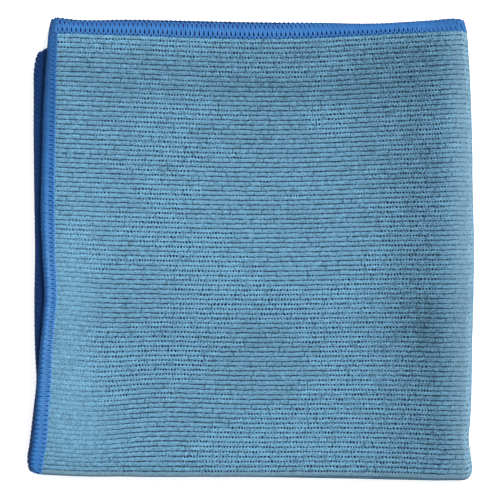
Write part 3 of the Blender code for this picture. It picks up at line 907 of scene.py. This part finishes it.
# Soft runs of one value over another: the second one's low and high, and the first one's start and end
Ramp = namedtuple("Ramp", "low high start end")
DOT_BODY = Ramp(0.75, 1.15, 1, 0)
DOT_DARKNESS = Ramp(0, 0.4, 0.7, 1)
RING_BODY = Ramp(0.15, 0.5, 0.8, 0)
RIM_BODY = Ramp(0.1, 0.6, 1, 0)
LOOP_BODY = Ramp(0.2, 0.65, 1, 0)
LOOP_SHADE = Ramp(0.15, 0.95, 0.15, -0.4)
JOINT_BODY = Ramp(0.07, 0.3, 1, 0)
JOINT_DARKNESS = Ramp(0.36, 0, 0, 0.75)
LINE_BODY = Ramp(0.6, 1.2, 1, 0)
LINE_DARKNESS = Ramp(-0.18, 0.02, 0.3, 0.92)
LINE_WIDTH = Ramp(-0.15, 0.15, 0.22, 0.31)
BEAD_WIDTH = Ramp(0.15, 0.6, 1.08, 0.7)
DOTS_BY_HEM = Ramp(20, 11, 0, 0.5)
DOTTED_FROM = Ramp(0.25, 0.38, 0, 1)
FAINT_LEFT = Ramp(0, 1, 1, 0.25)
LAST_LINE = Ramp(LAST_GROOVE + 0.7, LAST_GROOVE + 0.4, 0, 1)
INNER_SHOULDER = Ramp(0.3, 0.55, -0.05, 0.07)
OUTER_SHOULDER = Ramp(0.65, 1, 0, -0.06)
FINE_UNDER_SHEEN = Ramp(0.2, 1, 1, 0.6)
PLUM_START = Ramp(1.1, 1.6, 0, 1)
PLUM_END = Ramp(3.7, 3.1, 0, 1)
BACK_HEM_CLOSES = Ramp(176, 181, 0, 1)

# Dots in the grooves: their pitch along a rib and its start, their half sizes and the range of their size,
# how unevenly they lean, the share of them that are open loops, and the reach of such a ring and of the rim
DOT_PITCH = 1.38
DOT_START = 1.0
DOT_HALF_WIDTH = 0.39
DOT_HALF_HEIGHT = 0.50
DOT_SIZES = (0.8, 1.25)
DOT_LEAN_RANGE = 0.5
RING_SHARE = 0.15
RING_REACH = 1.3
RIM_REACH = 1.7

# Fine loops of the knit: their pitch along a rib, their number across one, and how far a row is moved on
LOOP_PITCH = 0.70
LOOPS_PER_RIB = 3
LOOP_STAGGER = 0.9

# Upright joints between two grooves: their pitch, how far a rib's are moved on at most, and how far each one
# strays from its place, which is its luck over a start, times a size
JOINT_PITCH = 3.6
JOINT_STAGGER = 5.0
JOINT_STRAY = 0.6
JOINT_STRAY_START = 0.1

# What is left of a line under the dots, how light the dots' rims are, the darkness of the painted shade along
# the folds' outer lines, and the speckle's share in the relief
LINE_UNDER_DOTS = 0.25
RIM_LIGHT = 0.30
FOLD_SHADE_SHARE = 0.85
SPECKLE_RELIEF = 0.35 / SPECKLE.size

# The reverse's loops: their pitch and size, and its lightness. The lightness of the hem's base.
REVERSE_LOOP_PITCH = 0.8
REVERSE_LOOP_SIZE = 0.06
REVERSE_LIGHTNESS = 0.96
BASE_LIGHTNESS = 0.85

# The threads' plies: turns per mm and size. The range of tone over 1 that ends in the painted highlight's
# colour.
PLY_RATE = 0.9
PLY_SIZE = 0.05
HIGHLIGHT_RANGE = 0.8


def math_step(operation):
    """A method that adds the math node of an operation, fed with the value itself and with the rest."""
    return lambda value, *rest: value.bench.math(operation, value, *rest)


class NodeValue:
    """A value that a node gives. Arithmetic with it adds the math nodes for that."""

    def __init__(self, bench, socket):
        self.bench = bench
        self.socket = socket

    __add__ = math_step("ADD")
    __sub__ = math_step("SUBTRACT")
    __mul__ = math_step("MULTIPLY")
    __truediv__ = math_step("DIVIDE")
    __lt__ = math_step("LESS_THAN")
    __abs__ = math_step("ABSOLUTE")
    __round__ = math_step("ROUND")

    def ramp(self, ramp):
        """Runs softly from the ramp's start at its low to its end at its high."""
        values = dict(enumerate((self, *ramp)))
        return self.bench.node("MapRange", values, interpolation_type="SMOOTHSTEP")


class NodeBench:
    """Adds nodes to one new material; each method returns the value of the node that it adds."""

    def __init__(self, name):
        self.material = bpy.data.materials.new(name)
        self.material.use_nodes = True
        self.tree = self.material.node_tree
        self.shader = self.tree.nodes["Principled BSDF"]

    def feed(self, node, inputs):
        """Links the values of other nodes to a node's inputs, and sets plain values on them."""
        for key, value in inputs.items():
            if isinstance(value, NodeValue):
                self.tree.links.new(value.socket, node.inputs[key])
            else:
                node.inputs[key].default_value = value

    def node(self, kind, inputs, output=0, **settings):
        """A shader node of the kind, with its settings set and its inputs fed."""
        node = self.tree.nodes.new("ShaderNode" + kind)
        for key, value in settings.items():
            setattr(node, key, value)
        self.feed(node, inputs)
        return NodeValue(self, node.outputs[output])

    def math(self, operation, *values):
        return self.node("Math", dict(enumerate(values)), operation=operation)

    def larger(self, first, second):
        return self.math("MAXIMUM", first, second)

    def length(self, x, y):
        return self.math("SQRT", x * x + y * y)

    def vector(self, *places):
        return self.node("CombineXYZ", dict(enumerate(places)))

    def noise(self, pattern, x, y):
        """Soft noise about 0 of a pattern's rates and size."""
        place = self.vector(x * pattern.along, y * pattern.across, pattern.plane)
        inputs = {"Vector": place, "Scale": 1.0, "Detail": pattern.detail}
        return (self.node("TexNoise", inputs, "Fac") - 0.5) * pattern.size

    def chance(self, *cell):
        """A random value from 0 to 1 for each cell; a plain number sets it apart from the other draws."""
        return self.node("TexWhiteNoise", {"Vector": self.vector(*cell)}, "Value")

    def either(self, share, first, second):
        """Blend of two numbers."""
        return self.node("Mix", {0: share, 2: first, 3: second})

    def tint(self, share, first, second):
        """Blend of two colours, plain or from a node."""
        first, second = (
            colour if isinstance(colour, NodeValue) else (*colour, 1.0) for colour in (first, second))
        return self.node("Mix", {0: share, 6: first, 7: second}, 2, data_type="RGBA")

    def scaled(self, colour, factor):
        """A colour, plain or from a node, made lighter or darker by a factor."""
        return self.node("VectorMath", {0: colour, "Scale": factor}, operation="SCALE")

    def attribute(self, name):
        return self.node("Attribute", {}, "Fac", attribute_name=name)

    def flat_place(self):
        """The flat place on the sheet, or along and round a thread, in mm."""
        uv = self.node("UVMap", {}, uv_map="flat_place")
        return [self.node("SeparateXYZ", {0: uv}, number) * (1 / MM) for number in (0, 1)]

    def dress(self, inputs):
        """The material, with the inputs of its shader fed."""
        self.feed(self.shader, inputs)
        return self.material

    def finish(self, colour, height, relief, roughness, sheen):
        """The material of a textile, with its colour, its relief of so many mm and its plain values."""
        bump = {"Distance": relief * MM, "Strength": BUMP_STRENGTH, "Height": height}
        return self.dress({
            "Base Color": colour, "Normal": self.node("Bump", bump), "Roughness": roughness,
            "Sheen Weight": sheen, "Specular IOR Level": FIBRE_SPECULAR, "Sheen Roughness": SHEEN_ROUGHNESS})


def dot_marks(bench, along, across, groove, off):
    """Dots of painted shade along the grooves: leaning ellipses at an uneven pitch, some of them open loops.
    Returns their darkness, the rim of light fibres round them, and the way along the rib from the nearest
    dot's middle."""
    drift = bench.noise(DOT_DRIFT, along, groove) + DOT_START
    column = along / DOT_PITCH + drift + bench.chance(groove, 1.5)
    cell = round(column)
    luck = bench.chance(cell, groove)
    more_luck = bench.chance(cell, groove, 4.0)
    lean = bench.noise(DOT_LEAN, along, across) + (more_luck - 0.5) * DOT_LEAN_RANGE
    beside = (column - cell) * DOT_PITCH
    reach = bench.length((beside - lean * off) / DOT_HALF_WIDTH, off / DOT_HALF_HEIGHT)
    reach = reach / bench.either(luck, *DOT_SIZES)
    ring = abs(reach - RING_REACH).ramp(RING_BODY)
    dot = bench.either(luck < RING_SHARE, reach.ramp(DOT_BODY), ring)
    return dot * more_luck.ramp(DOT_DARKNESS), abs(reach - RIM_REACH).ramp(RIM_BODY), beside


def loop_marks(bench, along, across):
    """Fine loops in rows along the ribs, painted with light and shade: each has its own chance of a spot of
    painted light or of painted shade.
    """
    row = across * (LOOPS_PER_RIB / RIB_HEIGHT)
    cell_row = round(row)
    column = along / LOOP_PITCH + bench.chance(cell_row, 3.5) * LOOP_STAGGER
    cell_column = round(column)
    reach = bench.length(column - cell_column, row - cell_row)
    return bench.chance(cell_column, cell_row, 6.0).ramp(LOOP_SHADE) * reach.ramp(LOOP_BODY)


def joint_marks(bench, along, rib):
    """A few thin upright joints from groove to groove, of uneven darkness."""
    rib_number = bench.math("FLOOR", rib)
    place = along / JOINT_PITCH + bench.chance(rib_number, 9.0) * JOINT_STAGGER
    cell = round(place)
    luck = bench.chance(cell, rib_number, 2.0)
    away = abs(place - cell - (luck - JOINT_STRAY_START) * JOINT_STRAY) * JOINT_PITCH
    return away.ramp(JOINT_BODY) * luck.ramp(JOINT_DARKNESS)


def groove_marks(bench, along, across):
    """Painted shade in the grooves: thin lines that waver, break and bead, and rows of dots in the dotted
    patches; and upright joints. Returns their darkness, the dots' light rims, and the distance from the
    nearest groove."""
    waver = bench.noise(SLOW_WAVER, along, across) + bench.noise(FAST_WAVER, along, across)
    rib = (across - HEM_INNER + waver) / RIB_HEIGHT
    groove = round(rib)
    off = (rib - groove) * RIB_HEIGHT
    distance = abs(off)
    dot, rim, beside = dot_marks(bench, along, across, groove, off)
    breaks = bench.noise(LINE_BREAKS, along, groove)
    line_width = breaks.ramp(LINE_WIDTH) * abs(beside).ramp(BEAD_WIDTH)
    line = (distance / line_width).ramp(LINE_BODY) * breaks.ramp(LINE_DARKNESS)
    dotted = bench.attribute("dotted") + bench.noise(DOT_SPREAD, along, across) + across.ramp(DOTS_BY_HEM)
    dotted = dotted.ramp(DOTTED_FROM)
    marks = bench.either(dotted, line, bench.larger(dot, line * LINE_UNDER_DOTS))
    marks = bench.larger(marks, joint_marks(bench, along, rib))
    marks = marks * bench.attribute("faint").ramp(FAINT_LEFT) * across.ramp(LAST_LINE)
    return marks, rim * dotted, distance


def knit_face_material(settings):
    """Ribbed microfibre knit: rounded ribs, grooves of painted shade, fibre speckle and faint wales, with
    painted light and shade in patches and across the ribs, painted sheen, and painted shade along the folds.
    """
    bench = NodeBench("ribbed microfibre knit")
    along, across = bench.flat_place()
    marks, rim, distance = groove_marks(bench, along, across)
    speckle, wales, courses, clouds = (
        bench.noise(pattern, along, across) for pattern in (SPECKLE, WALES, COURSES, CLOUDS))
    fine = loop_marks(bench, along, across) + rim * RIM_LIGHT + speckle + wales + courses
    # Painted sheen: the knit is painted pale and greyish where the pale attribute lies, and its fine marks
    # fade there
    pale = bench.attribute("pale")
    # Painted light and shade across each rib: darker right by the groove, lighter on the shoulders beside it,
    # and back near the plain crest in its middle
    shoulder = distance.ramp(INNER_SHOULDER) + distance.ramp(OUTER_SHOULDER)
    tone = bench.attribute("painted_shading") + 1.0 + shoulder + fine * pale.ramp(FINE_UNDER_SHEEN) + clouds
    crest = bench.scaled(bench.tint(pale, settings.crest_colour, settings.painted_sheen_colour), tone)
    # Painted shade in the grooves
    colour = bench.tint(marks, crest, settings.groove_shade_colour)
    # Painted shade along the folds' outer lines
    colour = bench.tint(bench.attribute("dark") * FOLD_SHADE_SHARE, colour, settings.fold_shade_colour)
    height = speckle * SPECKLE_RELIEF - marks
    return bench.finish(colour, height, relief=0.20, roughness=0.85, sheen=0.04)


def knit_reverse_material(settings):
    """The smooth reverse of the knit: fine upright loops and fibre speckle."""
    bench = NodeBench("knit reverse")
    along, across = bench.flat_place()
    loops = bench.math("SINE", along * (2 * pi / REVERSE_LOOP_PITCH))
    tone = loops * REVERSE_LOOP_SIZE + bench.noise(REVERSE_SPECKLE, along, across) + REVERSE_LIGHTNESS
    colour = bench.scaled(settings.crest_colour, tone)
    return bench.finish(colour, loops, relief=0.08, roughness=0.9, sheen=0.04)


def hem_base_material(settings):
    """The knit that the overlock threads cover: painted shade between the strands, plum coloured in a run
    along the outer half of the back hem, and of the thread's colour where that hem's loops lie close."""
    bench = NodeBench("hem base")
    along, across = bench.flat_place()
    speckle = bench.noise(BASE_SPECKLE, along, across)
    back_hem = across < HEM_INNER
    # Painted shade between the strands, deeper under the back hem
    colour = bench.tint(back_hem, settings.hem_gap_shade_colour, settings.back_gap_shade_colour)
    colour = bench.tint(back_hem * along.ramp(BACK_HEM_CLOSES), colour, settings.cover_thread_colour)
    colour = bench.tint(across.ramp(PLUM_START) * across.ramp(PLUM_END), colour, settings.plum_colour)
    colour = bench.scaled(colour, speckle + BASE_LIGHTNESS)
    return bench.finish(colour, speckle, relief=0.05, roughness=0.9, sheen=0.0)


def thread_material(name, settings, colour, fleck):
    """Textured overlock thread: slanting plies, and fine lighter and darker filaments. A tone under 1
    blends it into its deep colour of painted shade, and a tone over 1 into the colour of a painted highlight."""
    bench = NodeBench(name)
    length, share = bench.flat_place()
    plies = bench.math("SINE", (length * PLY_RATE + share) * (2 * pi))
    shade = plies * PLY_SIZE + bench.noise(FILAMENTS, length, share) * fleck
    shade = shade + bench.noise(SLOW_SHADE, length, share) + 1.0
    tone = bench.attribute("tone")
    light = bench.larger(tone - 1.0, 0.0) / HIGHLIGHT_RANGE
    colour = bench.tint(tone, settings.deep_thread_colour, colour)
    colour = bench.scaled(bench.tint(light, colour, settings.thread_highlight_colour), shade)
    return bench.finish(colour, plies, relief=0.05, roughness=0.7, sheen=0.03)


# ---------------------------------------------------------------- the add-on


def colour(name, description, *default):
    """A colour setting with its default."""
    return FloatVectorProperty(
        name=name, description=description, default=default, min=0.0, max=1.0, subtype="COLOR")


class ClothLookSettings(bpy.types.PropertyGroup):
    """Sizes and colours of the cloth."""

    groove_depth: FloatProperty(
        name="Groove depth", description="Depth of the grooves between the ribs of the face side",
        default=0.00022, min=0.0, max=0.0006, unit="LENGTH")
    thread_width: FloatProperty(
        name="Thread width", description="Width of a strand of the overlock over the hem",
        default=0.00105, min=0.0004, max=0.0012, unit="LENGTH")
    crest_colour: colour("Rib colour", "Colour of the crests of the ribs", 0.128, 0.305, 0.456)
    # Painted shade in the grooves and their dots
    groove_shade_colour: colour(
        "Groove colour", "Colour deep in the grooves between the ribs", 0.005, 0.020, 0.048)
    # Painted shade along the outermost lines of the folds
    fold_shade_colour: colour(
        "Fold line colour", "Colour of the outermost line of the folds", 0.012, 0.075, 0.15)
    # Painted sheen of the knit beside the folds and by the left hem
    painted_sheen_colour: colour(
        "Pale rib colour", "Colour of the knit where it lies stretched beside the folds", 0.148, 0.276, 0.373)
    # Painted shade between the threads of the hems
    hem_gap_shade_colour: colour("Hem gaps", "Colour between the threads of the side hems", 0.024, 0.100, 0.31)
    back_gap_shade_colour: colour(
        "Back hem gaps", "Colour between the threads of the back hem", 0.003, 0.014, 0.080)
    plum_colour: colour(
        "Plum", "Colour between the threads on the outer half of the back hem", 0.045, 0.035, 0.21)
    cover_thread_colour: colour(
        "Cover thread", "Colour of the overlock thread over the face side", 0.034, 0.165, 0.45)
    deep_thread_colour: colour(
        "Deep thread", "Colour of the threads where they lie close together in the shade",
        0.001, 0.012, 0.075)
    # Painted highlight of the cover thread where its tone is over 1
    thread_highlight_colour: colour(
        "Thread fluff", "Colour of the cover thread where its fluff catches the light", 0.125, 0.325, 0.67)
    under_thread_colour: colour(
        "Under thread", "Colour of the overlock thread under the reverse side", 0.002, 0.044, 0.165)


class StudioSettings(bpy.types.PropertyGroup):
    """Light, floor and camera."""

    floor_colour: colour("Floor colour", "Colour of the plain floor", 0.90, 0.90, 0.90)
    floor_glow: FloatProperty(
        name="Floor glow", description="Light that the floor gives off itself, so that shadows stay pale",
        default=0.65, min=0.0, max=1.0)
    sky_strength: FloatProperty(
        name="Sky strength", description="Strength of the even light from all sides", default=0.50, min=0.0)
    key_strength: FloatProperty(
        name="Key strength", description="Strength of the soft light from the back right",
        default=3.6, min=0.0)
    key_height: FloatProperty(
        name="Key height", description="Height of the key light over the horizon",
        default=0.66, min=0.1, max=1.5, subtype="ANGLE")
    key_direction: FloatProperty(
        name="Key direction", description="Direction of the key light, counted from +X towards +Y",
        default=0.70, subtype="ANGLE")
    view_width: FloatProperty(
        name="View width", description="Width of the picture at the height of the cloth's outline",
        default=0.2272, min=0.05, unit="LENGTH")
    lens: FloatProperty(
        name="Lens", description="Focal length of the camera in millimetres", default=200.0, min=20.0)


class ClothLookOperator:
    """What the operators of the add-on share."""

    bl_options = {"REGISTER", "UNDO"}


class CLOTHLOOK_OT_hem_threads(ClothLookOperator, bpy.types.Operator):
    """Lays the overlock threads along the four hems"""

    bl_idname = "clothlook.hem_threads"
    bl_label = "Overlock threads"

    def execute(self, context):
        settings = context.scene.cloth_look
        materials = (
            thread_material("cover thread", settings, settings.cover_thread_colour, fleck=0.8),
            thread_material("under thread", settings, settings.under_thread_colour, fleck=0.5))
        for number, hem in enumerate(HEMS):
            piece = hem_threads(settings, hem, HEM_SEEDS * (number + 1), materials)
            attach(piece, "root")
        return {"FINISHED"}


class CLOTHLOOK_OT_knit_sheet(ClothLookOperator, bpy.types.Operator):
    """Folds the ribbed knit panel as one closed sheet"""

    bl_idname = "clothlook.knit_sheet"
    bl_label = "Knit sheet"

    def execute(self, context):
        settings = context.scene.cloth_look
        materials = (
            knit_face_material(settings), knit_reverse_material(settings), hem_base_material(settings))
        piece = knit_sheet(settings, materials)
        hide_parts("cloth")
        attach(piece, "root")
        return {"FINISHED"}


class CLOTHLOOK_OT_studio(ClothLookOperator, bpy.types.Operator):
    """Sets up the floor, the light and the camera over the cloth"""

    bl_idname = "clothlook.studio"
    bl_label = "Studio"

    def execute(self, context):
        studio = context.scene.cloth_studio
        add_floor(studio)
        add_light(context.scene, studio)
        add_camera(context.scene, studio)
        context.scene.view_settings.view_transform = "Standard"
        return {"FINISHED"}


WHITE = (1.0, 1.0, 1.0, 1.0)
FLOOR_HALF_SIDE = 3000.0
FLOOR_DROP = 0.15
KEY_SOFTNESS = 0.6
OUTLINE_HEIGHT = 4.0
CAMERA_X = -0.58
CAMERA_Y = -0.46


def add_floor(studio):
    """A flat square just under the cloth, pale and plain, that is no part of it."""
    side = np.array((-FLOOR_HALF_SIDE, FLOOR_HALF_SIDE))
    x, y = np.meshgrid(side, side[::-1])
    points = np.stack((x, y, np.full_like(x, -FLOOR_DROP)), axis=-1).reshape(-1, 3)
    material = NodeBench("floor").dress({
        "Base Color": (*studio.floor_colour, 1.0), "Roughness": 0.9, "Specular IOR Level": 0.0,
        "Emission Color": WHITE, "Emission Strength": studio.floor_glow})
    faces = grid_quads(np.arange(4).reshape(2, 2))
    floor = link_piece(
        "floor", points, faces, (material,), np.zeros(1), points[faces.ravel()][:, :2] * MM)
    floor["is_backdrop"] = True


def add_light(scene, studio):
    """An even white sky, and one broad sun from the back right."""
    world = bpy.data.worlds.new("studio sky")
    world.use_nodes = True
    sky = world.node_tree.nodes["Background"]
    sky.inputs["Color"].default_value = WHITE
    sky.inputs["Strength"].default_value = studio.sky_strength
    scene.world = world
    sun = bpy.data.lights.new("key light", "SUN")
    sun.energy = studio.key_strength
    sun.angle = KEY_SOFTNESS
    key = bpy.data.objects.new("key light", sun)
    key.rotation_euler = (0.0, pi / 2 - studio.key_height, studio.key_direction)
    scene.collection.objects.link(key)


def add_camera(scene, studio):
    """A long lens straight over the cloth, with +Y up in the picture."""
    data = bpy.data.cameras.new("camera")
    data.lens = studio.lens
    camera = bpy.data.objects.new("camera", data)
    distance = studio.view_width / data.sensor_width * data.lens
    camera.location = (CAMERA_X * MM, CAMERA_Y * MM, OUTLINE_HEIGHT * MM + distance)
    data.clip_end = 10 * distance
    scene.collection.objects.link(camera)
    scene.camera = camera


class CLOTHLOOK_PT_sidebar(bpy.types.Panel):
    """Lists the steps of the cloth's look and their settings"""

    bl_idname = "CLOTHLOOK_PT_sidebar"
    bl_label = "Folded cloth"
    bl_space_type = "VIEW_3D"
    bl_region_type = "UI"
    bl_category = "Cloth"

    def draw(self, context):
        for settings in (context.scene.cloth_look, context.scene.cloth_studio):
            for key in settings.__annotations__:
                self.layout.prop(settings, key)
        for operator in OPERATORS:
            self.layout.operator(operator.bl_idname)


OPERATORS = (CLOTHLOOK_OT_hem_threads, CLOTHLOOK_OT_knit_sheet, CLOTHLOOK_OT_studio)
CLASSES = (ClothLookSettings, StudioSettings, *OPERATORS, CLOTHLOOK_PT_sidebar)


def register():
    for item in CLASSES:
        bpy.utils.register_class(item)
    bpy.types.Scene.cloth_look = PointerProperty(type=ClothLookSettings)
    bpy.types.Scene.cloth_studio = PointerProperty(type=StudioSettings)


def unregister():
    del bpy.types.Scene.cloth_studio
    del bpy.types.Scene.cloth_look
    for item in reversed(CLASSES):
        bpy.utils.unregister_class(item)


def write_sizes():
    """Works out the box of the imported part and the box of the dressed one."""
    boxes = {"cad": CAD_BOX, "visual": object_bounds()}
    {name: [list(corner) for corner in box] for name, box in boxes.items()}


def main():
    register()
    bpy.ops.clothlook.hem_threads()
    bpy.ops.clothlook.knit_sheet()
    bpy.ops.clothlook.studio()
    write_sizes()


if __name__ == "__main__":
    main()
